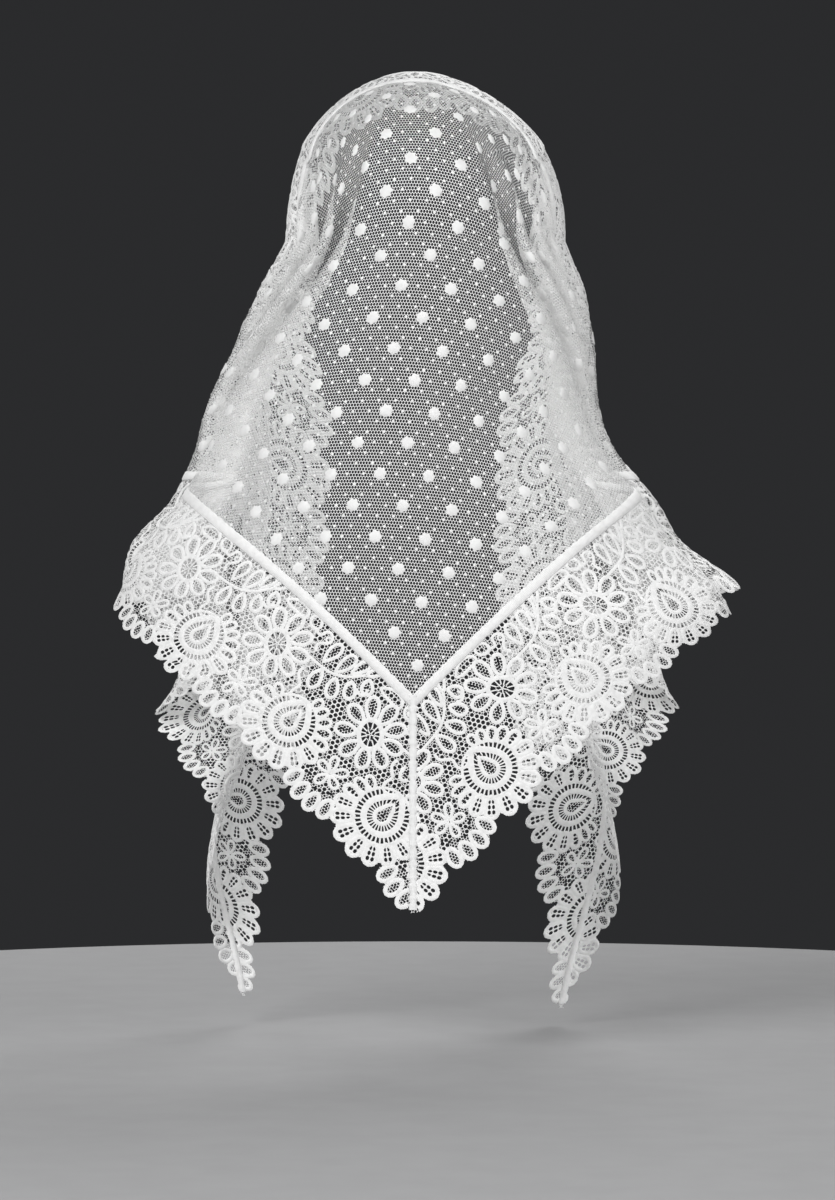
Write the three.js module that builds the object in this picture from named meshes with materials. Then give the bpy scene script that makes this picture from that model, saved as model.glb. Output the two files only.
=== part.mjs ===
// A triangular lace veil in the form it takes on a head, seen as a set of thin walls.
// The flat triangle is laid out in u (along the front edge) and v (from the front edge to the back point).
// Each flat point is carried to its place in the drape by its distance and turn from the crown.
// X is to the wearer's right, Y to the front and Z up; the origin is where the cloth sits on the crown.
// All lengths are in millimetres and all turns in degrees.
import * as THREE from "three";

// The flat cut
const FRONT_EDGE = 1500;
const DEPTH = 750;
const LACE_WIDTH = 105.5;
const BAND_WIDTH = 4.6;
const SEAM_WIDTH = 4.2;

// Walls and the gap between neighbouring pieces
const NET_WALL = 1.0;
const LACE_WALL = 1.2;
const BAND_WALL = 1.5;
const CLEARANCE = 1.0;

// The lace pattern
const REPEAT = 90;
const LARGE_SCALLOP = 10;
const SMALL_SCALLOP = 5;
const LARGE_LOBE = 56;
const CORNER_EASE = 14;
const CORNER_PLAIN = 48;
const TIP_PLAIN = 190;
const FREE_MARGIN = LARGE_SCALLOP;

// Where the first medallion of each strip stands from the veil's own corner, in repeats
const FIRST_MEDALLION = { left: 0.739, right: 1.239, front: 0.833 };

// Which way the pattern runs along each strip, measured from the strip's first end
const PATTERN_WAY = { left: -1, right: 1, front: -1 };

// The openings of one repeat: their place from the medallion against the pattern's way in repeats,
// the row of the lace they stand in, and how much of their cell they open
const EYES = [
  { from: 0, row: 2, open: 0.7 },
  { from: 0.45, row: 1, open: 0.7 },
  { from: 0.76, row: 1, open: 0.6 },
];

// Where the cloth sits on the head
const CROWN_SETBACK = 112;
const HEAD_ARC = 166;
const HEAD_HEIGHT = 115;
const HEAD_HALF_WIDTH = 99;
const HEAD_BACK = 101;
const HEAD_FRONT = 97;
const VISOR_LIFT = 20;
const VISOR_SHARE = 0.62;
const VISOR_EASE = 1.4;
const HEAD_LEAN = 9.5;

// How far the cloth stands from the head's axis where it falls over the shoulders
const SHOULDER_HALF_WIDTH = 222;
const BACK_DEPTH = 122;
const FACE_HALF_WIDTH = 77;
const CHEST_DEPTH = 112;

// The fall from the head: share of the way down, width of the shoulders on each side, depth of
// the back, set of the widest line towards the back, and how much less the sides drop than the back
const FALL_SECTIONS = [
  { way: 0.0, left: 0.446, right: 0.446, back: 0.828, set: 0.0, lag: 0.0 },
  { way: 0.08, left: 0.526, right: 0.516, back: 0.854, set: 0.016, lag: 0.01 },
  { way: 0.18, left: 0.6, right: 0.562, back: 0.886, set: 0.036, lag: 0.016 },
  { way: 0.27, left: 0.674, right: 0.586, back: 0.915, set: 0.054, lag: 0.021 },
  { way: 0.34, left: 0.7, right: 0.648, back: 0.935, set: 0.07, lag: 0.026 },
  { way: 0.42, left: 0.772, right: 0.772, back: 0.954, set: 0.091, lag: 0.036 },
  { way: 0.5, left: 0.895, right: 0.857, back: 0.971, set: 0.118, lag: 0.054 },
  { way: 0.6, left: 0.947, right: 1.05, back: 0.99, set: 0.147, lag: 0.08 },
  { way: 0.72, left: 1.0, right: 1.03, back: 0.997, set: 0.16, lag: 0.11 },
  { way: 1.0, left: 1.0, right: 1.03, back: 0.975, set: 0.16, lag: 0.18 },
  { way: 1.3, left: 1.0, right: 1.0, back: 0.95, set: 0.16, lag: 0.24 },
];

// The front edge: share of the way from its middle to its tip, its place beside the face on each
// side and in front of the head's axis
const EDGE_SECTIONS = [
  { way: 0.0, left: 0.0, right: 0.0, before: 0.87 },
  { way: 0.08, left: 0.7, right: 0.7, before: 0.8 },
  { way: 0.17, left: 1.0, right: 1.0, before: 0.7 },
  { way: 0.26, left: 0.98, right: 0.98, before: 0.72 },
  { way: 0.37, left: 0.78, right: 0.78, before: 0.8 },
  { way: 0.5, left: 0.8, right: 0.76, before: 0.93 },
  { way: 0.65, left: 1.0, right: 0.9, before: 1.02 },
  { way: 0.82, left: 1.34, right: 1.14, before: 1.0 },
  { way: 1.0, left: 1.6, right: 1.38, before: 0.95 },
];

// The flutes on each side: how many, the turn from the back where they start on the head and
// on the shoulder, and where they end at the front
const FLUTES = {
  left: { count: 4, startHead: 17, startShoulder: 28, end: 98, first: 0 },
  right: { count: 4, startHead: 16, startShoulder: 27, end: 96, first: -0.1 },
};
const FLUTE_EASE = 6;
const TIP_GATHER = 1.0;
const MOST_GATHER = 1.9;

// The low waves along the free front edge
const RIPPLE = 4;
const RIPPLE_LENGTH = 150;

// How finely each piece is divided
const SMOOTH_RAYS = 8;
const FLUTE_RAYS = 26;
const RINGS = 12;
const LEG_SPLIT = 2;
const FRONT_SPLIT = 4;
const LACE_ROWS = 4;

const WHITE = 0xf4f4f2;
const HALF_EDGE = FRONT_EDGE / 2;
const FALL = DEPTH - CROWN_SETBACK - HEAD_ARC;
const JOIN_REACH = HEAD_ARC + 0.68 * FALL;
const HALF_TURN = Math.PI;

const radians = THREE.MathUtils.degToRad;
const smooth = THREE.MathUtils.smoothstep;
const mix = THREE.MathUtils.lerp;

// A table's column at a place between its rows, as a smooth curve through them
function columnAt(rows, column, way) {
  let i = 0;
  while (i < rows.length - 2 && rows[i + 1].way < way) i += 1;
  const before = rows[Math.max(i - 1, 0)];
  const low = rows[i];
  const high = rows[i + 1];
  const after = rows[Math.min(i + 2, rows.length - 1)];
  const span = high.way - low.way;
  const t = THREE.MathUtils.clamp((way - low.way) / span, 0, 1);
  const slopeLow = ((high[column] - before[column]) / (high.way - before.way)) * span;
  const slopeHigh = ((after[column] - low[column]) / (after.way - low.way)) * span;
  const a = 2 * t ** 3 - 3 * t ** 2 + 1;
  const b = t ** 3 - 2 * t ** 2 + t;
  const c = 3 * t ** 2 - 2 * t ** 3;
  const d = t ** 3 - t ** 2;
  return a * low[column] + b * slopeLow + c * high[column] + d * slopeHigh;
}

// The Bessel function of the first kind, which gives the depth and spacing of an even meander
function bessel(order, x) {
  let term = 1;
  for (let k = 1; k <= order; k += 1) term *= x / 2 / k;
  let sum = term;
  for (let k = 1; k < 12; k += 1) {
    term *= -((x / 2) ** 2) / (k * (k + order));
    sum += term;
  }
  return sum;
}

// The plan of the drape on one side, at a distance from the crown measured along the cloth
function sectionAt(side, reach) {
  const onHead = Math.min(reach / HEAD_ARC, 1) * (HALF_TURN / 2);
  const way = (reach - HEAD_ARC) / FALL;
  const falls = way > 0;
  const section = {
    width: falls
      ? columnAt(FALL_SECTIONS, side, way) * SHOULDER_HALF_WIDTH
      : Math.sin(onHead) * HEAD_HALF_WIDTH,
    back: falls ? columnAt(FALL_SECTIONS, "back", way) * BACK_DEPTH : Math.sin(onHead) * HEAD_BACK,
    set: falls ? -columnAt(FALL_SECTIONS, "set", way) * BACK_DEPTH : 0,
    lag: falls ? columnAt(FALL_SECTIONS, "lag", way) * FALL : 0,
    drop: HEAD_HEIGHT * (1 - Math.cos(onHead)) + Math.max(reach - HEAD_ARC, 0),
    lastTurn: HALF_TURN,
    lastAngle: HALF_TURN,
    front: Math.sin(onHead) * HEAD_FRONT,
  };
  if (reach > CROWN_SETBACK) {
    const along = Math.sqrt(reach ** 2 - CROWN_SETBACK ** 2) / HALF_EDGE;
    const beside = columnAt(EDGE_SECTIONS, side, along) * FACE_HALF_WIDTH;
    const before = columnAt(EDGE_SECTIONS, "before", along) * CHEST_DEPTH;
    section.lastTurn = HALF_TURN - Math.acos(CROWN_SETBACK / reach);
    section.lastAngle = HALF_TURN - Math.asin(Math.min(beside / section.width, 1));
    section.front = (before - section.set) / -Math.cos(section.lastAngle);
  }
  return section;
}

// A point of a section's plan and the direction outwards from it, at an angle from the back
function planPoint(section, angle) {
  const deep = angle < HALF_TURN / 2 ? section.back + section.set : section.front;
  const x = section.width * Math.sin(angle);
  const y = section.set - deep * Math.cos(angle);
  const outward = new THREE.Vector2(deep * Math.sin(angle), -section.width * Math.cos(angle));
  return { at: new THREE.Vector2(x, y), outward: outward.normalize() };
}

// The plan's length from the back to each of its even angles
const PLAN_STEPS = 60;
function planLengths(section) {
  const lengths = [0];
  let last = planPoint(section, 0).at;
  for (let i = 1; i <= PLAN_STEPS; i += 1) {
    const next = planPoint(section, (section.lastAngle * i) / PLAN_STEPS).at;
    lengths.push(lengths[i - 1] + next.distanceTo(last));
    last = next;
  }
  return lengths;
}

function angleAtLength(section, lengths, length) {
  const whole = lengths[PLAN_STEPS];
  if (length <= 0) return 0;
  if (length >= whole) return section.lastAngle;
  let i = 0;
  while (lengths[i + 1] < length) i += 1;
  const share = (length - lengths[i]) / (lengths[i + 1] - lengths[i]);
  return (section.lastAngle * (i + share)) / PLAN_STEPS;
}

// Where the flutes start, in radians from the back, at a distance from the crown
function fluteStart(flutes, reach) {
  return radians(mix(flutes.startHead, flutes.startShoulder, smooth(reach, 0.8 * HEAD_ARC, 1.8 * HEAD_ARC)));
}

// How strongly the cloth is gathered at a turn, from 0 where it lies smooth to 1 in the flutes
function gatherAt(flutes, reach, turn) {
  const start = fluteStart(flutes, reach);
  const end = radians(flutes.end);
  const ease = radians(FLUTE_EASE);
  return smooth(turn, start, start + ease) * (1 - smooth(turn, end - ease, end + ease));
}

// Length of plan covered between two turns when the flutes swing by a given angle
const TURN_STEPS = 40;
function coveredLength(flutes, reach, from, to, swing) {
  let sum = 0;
  for (let i = 0; i < TURN_STEPS; i += 1) {
    const turn = from + ((to - from) * (i + 0.5)) / TURN_STEPS;
    sum += bessel(0, swing * gatherAt(flutes, reach, turn));
  }
  return (sum * reach * (to - from)) / TURN_STEPS;
}

// The swing of the flutes that takes up the slack between the cloth and the plan
const SWING_STEP = 10;
const swings = { left: [], right: [] };
function solvedSwing(side, reach) {
  const section = sectionAt(side, reach);
  const whole = planLengths(section)[PLAN_STEPS];
  let low = 0;
  let high = MOST_GATHER;
  for (let i = 0; i < 18; i += 1) {
    const swing = (low + high) / 2;
    if (coveredLength(FLUTES[side], reach, 0, section.lastTurn, swing) > whole) low = swing;
    else high = swing;
  }
  return low;
}

function swingAt(side, reach) {
  const known = swings[side];
  while (known.length * SWING_STEP <= JOIN_REACH + 2 * SWING_STEP) {
    known.push(solvedSwing(side, Math.max(known.length * SWING_STEP, 1)));
  }
  const place = Math.min(reach, JOIN_REACH) / SWING_STEP;
  const i = Math.floor(place);
  const joined = mix(known[i], known[i + 1], place - i);
  return mix(joined, TIP_GATHER, smooth(reach, JOIN_REACH, JOIN_REACH + FALL * 0.4));
}

// The place in the drape of one flat point
function draped(u, v) {
  const side = u < 0 ? "left" : "right";
  const flutes = FLUTES[side];
  const reach = Math.max(Math.hypot(u, v - CROWN_SETBACK), 1e-6);
  const turn = Math.atan2(Math.abs(u), v - CROWN_SETBACK);
  const section = sectionAt(side, reach);
  const lengths = planLengths(section);
  const whole = lengths[PLAN_STEPS];
  const swing = swingAt(side, reach);
  const start = fluteStart(flutes, reach);
  const fromFront = coveredLength(flutes, reach, turn, section.lastTurn, swing);
  let length;
  if (reach < JOIN_REACH) {
    const fromBack = coveredLength(flutes, reach, 0, turn, swing);
    length = (whole * fromBack) / Math.max(fromBack + fromFront, 1e-6);
  } else {
    length = turn < HALF_TURN / 4 ? reach * turn : whole - fromFront;
  }
  const angle = angleAtLength(section, lengths, length);
  const { at, outward } = planPoint(section, angle);

  const spread = radians(flutes.end) - start;
  const perFlute = (reach * spread) / flutes.count;
  const phase = ((turn - start) / spread) * flutes.count * 2 * HALF_TURN + flutes.first * HALF_TURN;
  const bend = swing * gatherAt(flutes, reach, turn);
  const grown = smooth(reach, 0.5 * HEAD_ARC, 1.3 * HEAD_ARC);
  const depth = (perFlute / HALF_TURN) * bessel(1, bend) * grown;
  const slide = (perFlute / (2 * HALF_TURN)) * bessel(2, bend) * grown;
  const nearEdge = 1 - smooth(v, 0, 1.4 * LACE_WIDTH);
  const ripple = RIPPLE * Math.sin((2 * HALF_TURN * Math.abs(u)) / RIPPLE_LENGTH);
  const waves = ripple * nearEdge * smooth(reach, HEAD_ARC, 2 * HEAD_ARC);
  const inwards = depth * (Math.cos(phase) - 1) + waves;
  const onwards = slide * Math.sin(2 * phase);
  const x = at.x + outward.x * inwards - outward.y * onwards;
  const y = at.y + outward.y * inwards + outward.x * onwards;

  const ahead = Math.max(-Math.cos(turn), 0) ** VISOR_EASE;
  const near = 1 - smooth(reach, CROWN_SETBACK, 1.7 * CROWN_SETBACK);
  const lifted = Math.sin(Math.min(reach / CROWN_SETBACK, 1) * HALF_TURN * 0.8);
  const lag = section.lag * Math.sin(angle) ** 2;
  const drop = (section.drop - lag) * (1 - VISOR_SHARE * ahead * near);
  const z = VISOR_LIFT * ahead * near * lifted - drop;
  const lean = HEAD_LEAN * (1 - smooth(-z, 0.6 * HEAD_HEIGHT, 2.6 * HEAD_HEIGHT));
  return new THREE.Vector3((side === "left" ? -x : x) + lean * smooth(reach, 0, HEAD_ARC), y, z);
}

// The outward direction of the drape at a flat point
function outwardAt(u, v) {
  const step = 1.5;
  const away = u < 0 ? -step : step;
  const here = draped(u, v);
  const alongU = draped(u + away, v).sub(here);
  const alongV = draped(u, v - step).sub(here);
  const normal = away > 0 ? alongU.cross(alongV) : alongV.cross(alongU);
  return normal.normalize().negate();
}

// A triangle's corners in the order that faces outwards once it is draped
function facingOut(points, [a, b, c]) {
  const [p, q, r] = [points[a], points[b], points[c]];
  const turned = (q[0] - p[0]) * (r[1] - p[1]) - (q[1] - p[1]) * (r[0] - p[0]);
  return turned > 0 ? [a, b, c] : [a, c, b];
}

// A closed wall over flat points and triangles, with a rim round every open edge. Each rim face
// is split the same way on both sides of a gap, so that neighbours follow each other
function wallOver(points, triangles, thickness) {
  const positions = [];
  for (const half of [thickness / 2, -thickness / 2]) {
    for (const [u, v] of points) {
      const place = draped(u, v).addScaledVector(outwardAt(u, v), half);
      positions.push(place.x, place.y, place.z);
    }
  }
  const under = points.length;
  const indices = [];
  const rims = new Map();
  for (const corners of triangles) {
    const [a, b, c] = facingOut(points, corners);
    indices.push(a, b, c, under + a, under + c, under + b);
    for (const [from, to] of [[a, b], [b, c], [c, a]]) {
      if (rims.has(`${to},${from}`)) rims.delete(`${to},${from}`);
      else rims.set(`${from},${to}`, [from, to]);
    }
  }
  for (const [from, to] of rims.values()) {
    if (points[from][0] - points[to][0] + 0.1 * (points[from][1] - points[to][1]) < 0) {
      indices.push(from, under + from, to, to, under + from, under + to);
    } else {
      indices.push(from, under + from, under + to, from, under + to, to);
    }
  }
  const geometry = new THREE.BufferGeometry();
  geometry.setAttribute("position", new THREE.Float32BufferAttribute(positions, 3));
  geometry.setIndex(indices);
  geometry.computeVertexNormals();
  return geometry;
}

// The flat corners of the triangle, drawn in by a margin on all sides
function cornersInside(margin) {
  const half = Math.atan2(HALF_EDGE, DEPTH);
  const tipAngle = (HALF_TURN / 2 - half) / 2;
  const tip = HALF_EDGE - margin / Math.tan(tipAngle);
  return {
    left: new THREE.Vector2(-tip, margin),
    right: new THREE.Vector2(tip, margin),
    back: new THREE.Vector2(0, DEPTH - margin / Math.sin(half)),
  };
}

// The ends of an edge line at a margin, drawn in so that the mitre seams fit between neighbours
const BESIDE_SEAM = SEAM_WIDTH / 2 + CLEARANCE;
function lineInside(margin, ends, room = BESIDE_SEAM) {
  const corners = cornersInside(margin);
  const line = ends.map((end) => corners[end].clone());
  const along = line[1].clone().sub(line[0]).normalize();
  const by = ends.map((end) => {
    const mitre = cornersInside(margin - 1)[end].sub(corners[end]).normalize();
    return room / Math.abs(along.x * mitre.y - along.y * mitre.x);
  });
  return {
    from: line[0],
    to: line[1],
    drawnFrom: line[0].clone().addScaledVector(along, by[0]),
    drawnTo: line[1].clone().addScaledVector(along, -by[1]),
  };
}

// The turns of the rays that divide the net and the back lace, seen from the middle of the
// net's front edge, with each part between two rays split again
function rayTurns(split) {
  const start = FLUTES.left.startShoulder;
  const turns = [];
  for (let i = 0; i < SMOOTH_RAYS; i += 1) turns.push((start * i) / SMOOTH_RAYS);
  for (let i = 0; i <= FLUTE_RAYS; i += 1) turns.push(start + ((90 - start) * i) / FLUTE_RAYS);
  const splitTurns = [];
  for (let i = 0; i < turns.length - 1; i += 1) {
    for (let k = 0; k < split; k += 1) splitTurns.push(mix(turns[i], turns[i + 1], k / split));
  }
  splitTurns.push(90);
  return splitTurns;
}

// Where the rays cross a leg's line at a margin; past the net's corner they fan out to the tip
const PIVOT_MARGIN = LACE_WIDTH + BAND_WIDTH + CLEARANCE;
function legPoints(margin, ends, split) {
  const line = lineInside(margin, ends);
  const back = line.from;
  const tip = line.to;
  const lastShare = (back.y - PIVOT_MARGIN) / (back.y - tip.y);
  const points = rayTurns(split).map((turn) => {
    const tangent = Math.tan(radians(Math.min(turn, 89.999)));
    const slope = Math.abs(tip.x - back.x) / (back.y - tip.y);
    const share = ((tangent / (slope + tangent)) * lastShare) + (1 - lastShare) * smooth(turn, 50, 90);
    return back.clone().lerp(tip, Math.min(share, 1));
  });
  points[0] = line.drawnFrom;
  points[points.length - 1] = line.drawnTo;
  return points;
}

// Even divisions of the front line at a margin
function frontPoints(margin, ends, split) {
  const line = lineInside(margin, ends);
  const columns = 2 * RINGS * split;
  const points = [];
  for (let i = 0; i <= columns; i += 1) points.push(line.from.clone().lerp(line.to, i / columns));
  points[0] = line.drawnFrom;
  points[columns] = line.drawnTo;
  return points;
}

// A narrow band whose inner edge has the net's divisions and whose outer edge has the lace's
function bandBetween(inner, outer, split) {
  const points = [...inner, ...outer].map((place) => [place.x, place.y]);
  const triangles = [];
  for (let i = 0; i < inner.length - 1; i += 1) {
    for (let k = 0; k < split; k += 1) {
      const near = inner.length + i * split + k;
      triangles.push([k < split / 2 ? i : i + 1, near, near + 1]);
    }
    triangles.push([i, inner.length + i * split + Math.floor(split / 2), i + 1]);
  }
  return { points, triangles };
}

// How far the lace's free edge stands out in its scallops
function scallop(along, length, firstMedallion) {
  const places = (along - firstMedallion) / REPEAT;
  const from = (places - Math.round(places)) * REPEAT;
  const ends = smooth(along, 0, CORNER_EASE) * (1 - smooth(along, length - CORNER_EASE, length));
  if (Math.abs(from) < LARGE_LOBE / 2) {
    return ends * LARGE_SCALLOP * Math.cos((from / LARGE_LOBE) * HALF_TURN);
  }
  const small = (REPEAT - LARGE_LOBE) / 2;
  const past = (Math.abs(from) - LARGE_LOBE / 2) / small;
  return ends * SMALL_SCALLOP * Math.abs(Math.sin(past * HALF_TURN));
}

// The strip of lace between its seam and its free edge, scalloped and pierced
function laceStrip(joined, free, corner, medallion, way) {
  const length = free[0].distanceTo(free[free.length - 1]);
  const along = free[free.length - 1].clone().sub(free[0]).normalize();
  const firstMedallion = medallion * REPEAT - free[0].clone().sub(corner).dot(along);
  const across = new THREE.Vector2(-along.y, along.x);
  if (across.dot(free[0].clone().sub(joined[0])) < 0) across.negate();
  const points = [];
  const lengths = free.map((place) => place.distanceTo(free[0]));
  free.forEach((place, i) => {
    const edge = place.clone().addScaledVector(across, scallop(lengths[i], length, firstMedallion));
    for (let j = 0; j <= LACE_ROWS; j += 1) {
      const at = joined[i].clone().lerp(edge, j / LACE_ROWS);
      points.push([at.x, at.y]);
    }
  });
  const opened = new Map();
  for (const { from, row, open } of EYES) {
    const first = firstMedallion - way * from * REPEAT - REPEAT;
    for (let place = first; place < length - TIP_PLAIN; place += REPEAT) {
      const column = lengths.findIndex((reached) => reached > place) - 1;
      const clear = place > CORNER_PLAIN && column > 0 && column < free.length - 2;
      if (clear) opened.set(`${column},${row}`, open);
    }
  }
  const triangles = [];
  const at = (i, j) => i * (LACE_ROWS + 1) + j;
  for (let i = 0; i < free.length - 1; i += 1) {
    for (let j = 0; j < LACE_ROWS; j += 1) {
      const cell = [at(i, j), at(i, j + 1), at(i + 1, j + 1), at(i + 1, j)];
      const open = opened.get(`${i},${j}`);
      if (open) {
        eyeIn(cell, open, points, triangles);
      } else {
        triangles.push([cell[0], cell[1], cell[2]], [cell[0], cell[2], cell[3]]);
      }
    }
  }
  return { points, triangles };
}

// A cell with a four-sided hole through its middle
function eyeIn(cell, open, points, triangles) {
  const corners = cell.map((k) => new THREE.Vector2(...points[k]));
  const middle = corners.reduce((sum, p) => sum.add(p), new THREE.Vector2()).divideScalar(4);
  const first = points.length;
  cell.forEach((k, n) => {
    const hole = middle.clone().lerp(corners[n], open);
    points.push([hole.x, hole.y]);
  });
  cell.forEach((k, n) => {
    const next = (n + 1) % 4;
    triangles.push([k, cell[next], first + n], [cell[next], first + next, first + n]);
  });
}

// The dotted net in the middle of the triangle, divided by rays and rings
function netPanel() {
  const corners = cornersInside(PIVOT_MARGIN);
  const pivot = new THREE.Vector2(0, PIVOT_MARGIN);
  const outer = [];
  const turns = rayTurns(1);
  const shareAt = (turn) => {
    const tangent = Math.tan(radians(Math.min(turn, 89.999)));
    return tangent / (corners.right.x / (corners.back.y - PIVOT_MARGIN) + tangent);
  };
  for (const turn of [...turns].reverse()) {
    outer.push(corners.back.clone().lerp(corners.left, turn === 90 ? 1 : shareAt(turn)));
  }
  for (const turn of turns.slice(1)) {
    outer.push(corners.back.clone().lerp(corners.right, turn === 90 ? 1 : shareAt(turn)));
  }
  const points = [[pivot.x, pivot.y]];
  const triangles = [];
  const corner = (i, k) => (k === 0 ? 0 : 1 + i * RINGS + (k - 1));
  outer.forEach((edge, i) => {
    for (let k = 1; k <= RINGS; k += 1) {
      const at = pivot.clone().lerp(edge, k / RINGS);
      points.push([at.x, at.y]);
    }
    if (i === 0) return;
    for (let k = 0; k < RINGS; k += 1) {
      triangles.push([corner(i - 1, k), corner(i - 1, k + 1), corner(i, k + 1)]);
      if (k > 0) triangles.push([corner(i - 1, k), corner(i, k + 1), corner(i, k)]);
    }
  });
  return { points, triangles };
}

// A mitre seam from a corner of the net to a corner of the veil, divided as the lace beside it
function mitreSeam(corner, borders) {
  const points = [];
  const triangles = [];
  const margins = [LACE_WIDTH + BAND_WIDTH - SEAM_WIDTH / 2, LACE_WIDTH];
  for (let j = 1; j <= LACE_ROWS; j += 1) margins.push(mix(LACE_WIDTH, FREE_MARGIN, j / LACE_ROWS));
  margins.forEach((margin, j) => {
    for (const ends of borders) {
      const line = lineInside(margin, ends, SEAM_WIDTH / 2);
      const at = ends[0] === corner ? line.drawnFrom : line.drawnTo;
      points.push([at.x, at.y]);
    }
    if (j > 0) {
      const k = 2 * j;
      triangles.push([k - 2, k, k + 1], [k - 2, k + 1, k - 1]);
    }
  });
  return { points, triangles };
}

const white = (name, roughness) =>
  new THREE.MeshStandardMaterial({ name, color: WHITE, roughness, metalness: 0 });
const netMaterial = white("net", 0.85);
const laceMaterial = white("lace", 0.75);
const bandMaterial = white("band", 0.7);

const veil = new THREE.Group();
function piece(name, sheet, thickness, material) {
  const mesh = new THREE.Mesh(wallOver(sheet.points, sheet.triangles, thickness), material);
  mesh.name = name;
  veil.add(mesh);
}

// One side of the border: the lace and the band that joins it to the net
function border(lace, band, ends, dividedBy, split, side) {
  const joined = dividedBy(LACE_WIDTH, ends, split);
  const free = dividedBy(FREE_MARGIN, ends, split);
  const corner = cornersInside(0)[ends[0]];
  const strip = laceStrip(joined, free, corner, FIRST_MEDALLION[side], PATTERN_WAY[side]);
  piece(lace, strip, LACE_WALL, laceMaterial);
  const inner = dividedBy(LACE_WIDTH + BAND_WIDTH, ends, 1);
  const outer = dividedBy(LACE_WIDTH + CLEARANCE, ends, split);
  piece(band, bandBetween(inner, outer, split), BAND_WALL, bandMaterial);
}

const leftLeg = ["back", "left"];
const rightLeg = ["back", "right"];
const frontEdge = ["left", "right"];
piece("net_panel", netPanel(), NET_WALL, netMaterial);
border("back_lace_left", "seam_band_left", leftLeg, legPoints, LEG_SPLIT, "left");
border("back_lace_right", "seam_band_right", rightLeg, legPoints, LEG_SPLIT, "right");
border("front_lace", "seam_band_front", frontEdge, frontPoints, FRONT_SPLIT, "front");
piece("mitre_seam_back", mitreSeam("back", [leftLeg, rightLeg]), BAND_WALL, bandMaterial);
piece("mitre_seam_left", mitreSeam("left", [leftLeg, frontEdge]), BAND_WALL, bandMaterial);
piece("mitre_seam_right", mitreSeam("right", [rightLeg, frontEdge]), BAND_WALL, bandMaterial);

export default veil;
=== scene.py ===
# A triangular lace veil held up as it is worn: dotted net, a wide lace border and its seam bands.
# The flat cut is laid out in millimetres, with u along the front edge and v towards the back point,
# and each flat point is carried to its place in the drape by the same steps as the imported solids.
import math

import bpy
import numpy as np
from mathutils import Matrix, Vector
from mathutils.geometry import delaunay_2d_cdt


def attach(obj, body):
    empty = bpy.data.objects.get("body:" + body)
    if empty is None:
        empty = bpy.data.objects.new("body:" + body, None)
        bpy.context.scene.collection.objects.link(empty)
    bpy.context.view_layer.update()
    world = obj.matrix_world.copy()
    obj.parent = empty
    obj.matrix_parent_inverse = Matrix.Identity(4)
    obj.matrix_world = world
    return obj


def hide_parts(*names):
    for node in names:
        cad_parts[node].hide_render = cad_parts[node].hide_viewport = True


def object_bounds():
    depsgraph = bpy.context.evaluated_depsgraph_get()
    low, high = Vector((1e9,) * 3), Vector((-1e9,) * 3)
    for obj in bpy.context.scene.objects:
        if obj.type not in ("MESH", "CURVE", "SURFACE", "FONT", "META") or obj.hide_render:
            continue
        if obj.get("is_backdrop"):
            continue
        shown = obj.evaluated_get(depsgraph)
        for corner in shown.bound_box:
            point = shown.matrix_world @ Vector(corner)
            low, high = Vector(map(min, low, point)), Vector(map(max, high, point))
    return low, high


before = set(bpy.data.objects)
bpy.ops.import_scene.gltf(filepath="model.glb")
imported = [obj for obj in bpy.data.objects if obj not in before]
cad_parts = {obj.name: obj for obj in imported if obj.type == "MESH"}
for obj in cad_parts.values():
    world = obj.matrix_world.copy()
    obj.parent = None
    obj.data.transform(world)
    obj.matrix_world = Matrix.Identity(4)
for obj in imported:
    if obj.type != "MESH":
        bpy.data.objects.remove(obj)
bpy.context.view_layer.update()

MM = 0.001
PI = math.pi

# The flat cut, as in the solids
FRONT_EDGE, DEPTH = 1500.0, 750.0
HALF_EDGE = FRONT_EDGE / 2
LACE_WIDTH, BAND_WIDTH, REPEAT = 105.5, 4.6, 90.0
CROWN_SETBACK, HEAD_ARC = 112.0, 166.0
HEAD_HEIGHT, HEAD_HALF_WIDTH, HEAD_BACK, HEAD_FRONT = 115.0, 99.0, 101.0, 97.0
VISOR_LIFT, VISOR_SHARE, VISOR_EASE, HEAD_LEAN = 20.0, 0.62, 1.4, 9.5
SHOULDER_HALF_WIDTH, BACK_DEPTH = 222.0, 122.0
FACE_HALF_WIDTH, CHEST_DEPTH = 77.0, 112.0
FALL = DEPTH - CROWN_SETBACK - HEAD_ARC
JOIN_REACH = HEAD_ARC + 0.68 * FALL

# way, width on the left, width on the right, back, set, lag
FALL_SECTIONS = np.array([
    (0.0, 0.446, 0.446, 0.828, 0.0, 0.0),
    (0.08, 0.526, 0.516, 0.854, 0.016, 0.01),
    (0.18, 0.6, 0.562, 0.886, 0.036, 0.016),
    (0.27, 0.674, 0.586, 0.915, 0.054, 0.021),
    (0.34, 0.7, 0.648, 0.935, 0.07, 0.026),
    (0.42, 0.772, 0.772, 0.954, 0.091, 0.036),
    (0.5, 0.895, 0.857, 0.971, 0.118, 0.054),
    (0.6, 0.947, 1.05, 0.99, 0.147, 0.08),
    (0.72, 1.0, 1.03, 0.997, 0.16, 0.11),
    (1.0, 1.0, 1.03, 0.975, 0.16, 0.18),
    (1.3, 1.0, 1.0, 0.95, 0.16, 0.24),
])
# way, beside on the left, beside on the right, before
EDGE_SECTIONS = np.array([
    (0.0, 0.0, 0.0, 0.87),
    (0.08, 0.7, 0.7, 0.8),
    (0.17, 1.0, 1.0, 0.7),
    (0.26, 0.98, 0.98, 0.72),
    (0.37, 0.78, 0.78, 0.8),
    (0.5, 0.8, 0.76, 0.93),
    (0.65, 1.0, 0.9, 1.02),
    (0.82, 1.34, 1.14, 1.0),
    (1.0, 1.6, 1.38, 0.95),
])
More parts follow.
